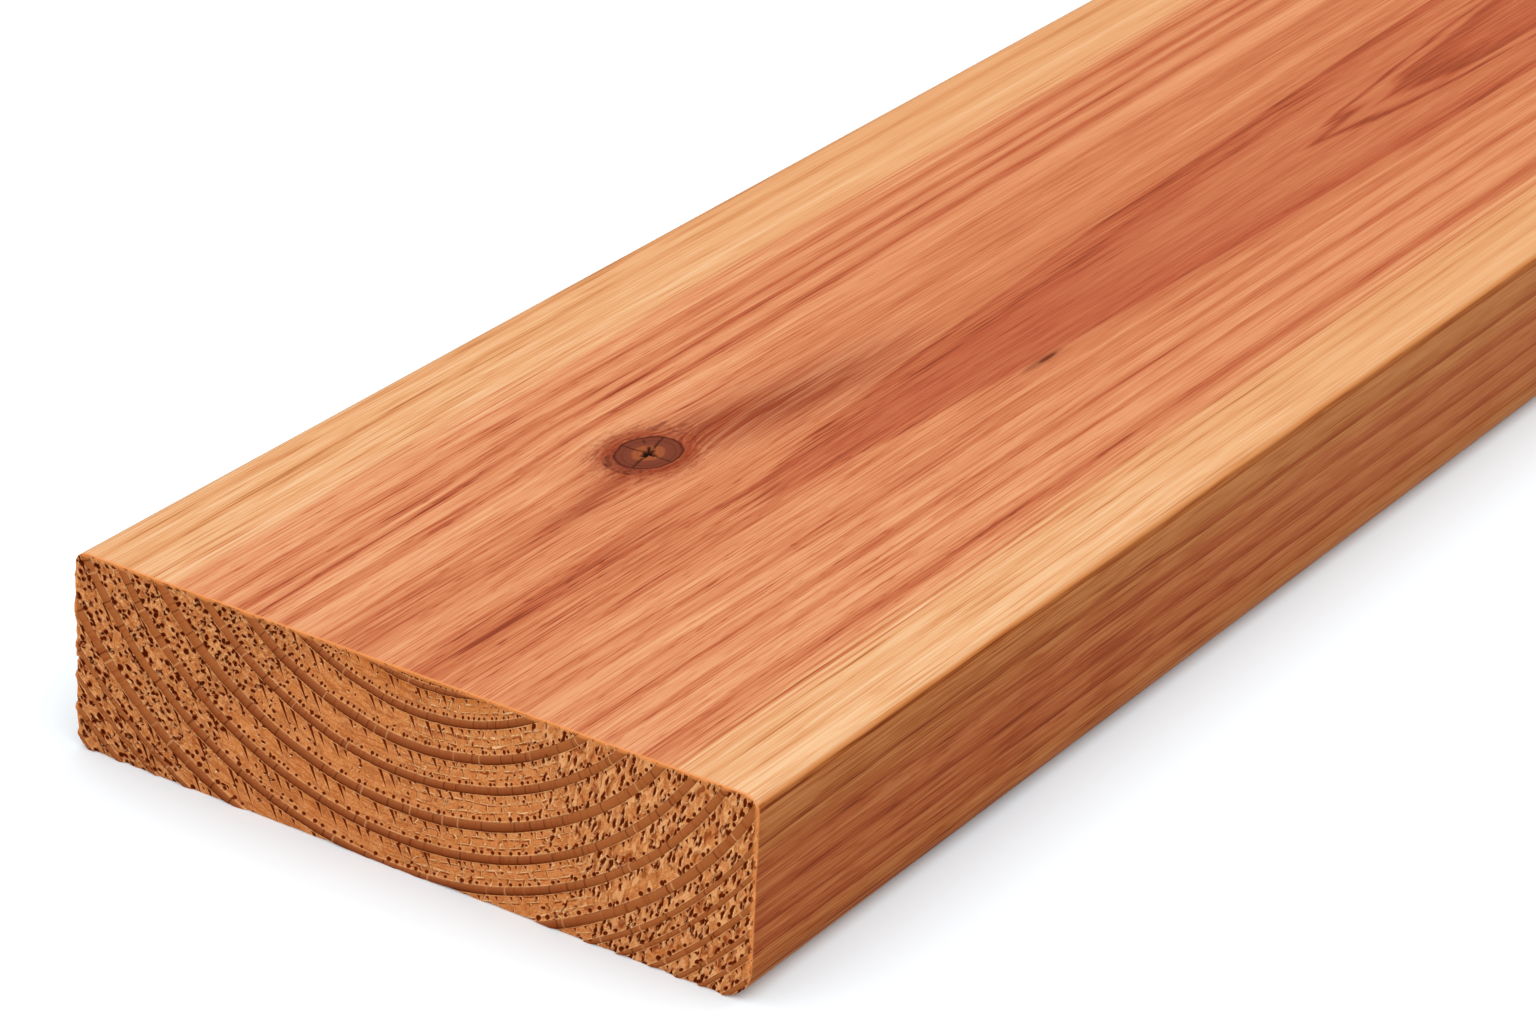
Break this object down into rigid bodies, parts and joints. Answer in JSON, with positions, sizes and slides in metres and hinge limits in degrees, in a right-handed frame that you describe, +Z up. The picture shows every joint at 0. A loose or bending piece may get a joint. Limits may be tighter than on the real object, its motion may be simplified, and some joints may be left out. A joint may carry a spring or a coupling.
{
  "type": "cedar plank",
  "caption": "Flat softwood board of rectangular section with eased long edges and square-cut ends, used as stock for decking, trim, panelling and fencing.",
  "frame": {"origin": "middle of the underside, which lies on the floor", "axes": "+X along the length, away from the end that the picture shows; +Y across the width, to the picture's left; +Z up, through the thickness"},
  "size_m": [1.829, 0.14, 0.038],
  "materials": {
    "cedar": "planed faces and sawn ends, bare and matte"
  },
  "bodies": {
    "root": {"plank": "cedar"}
  },
  "joints": []
}
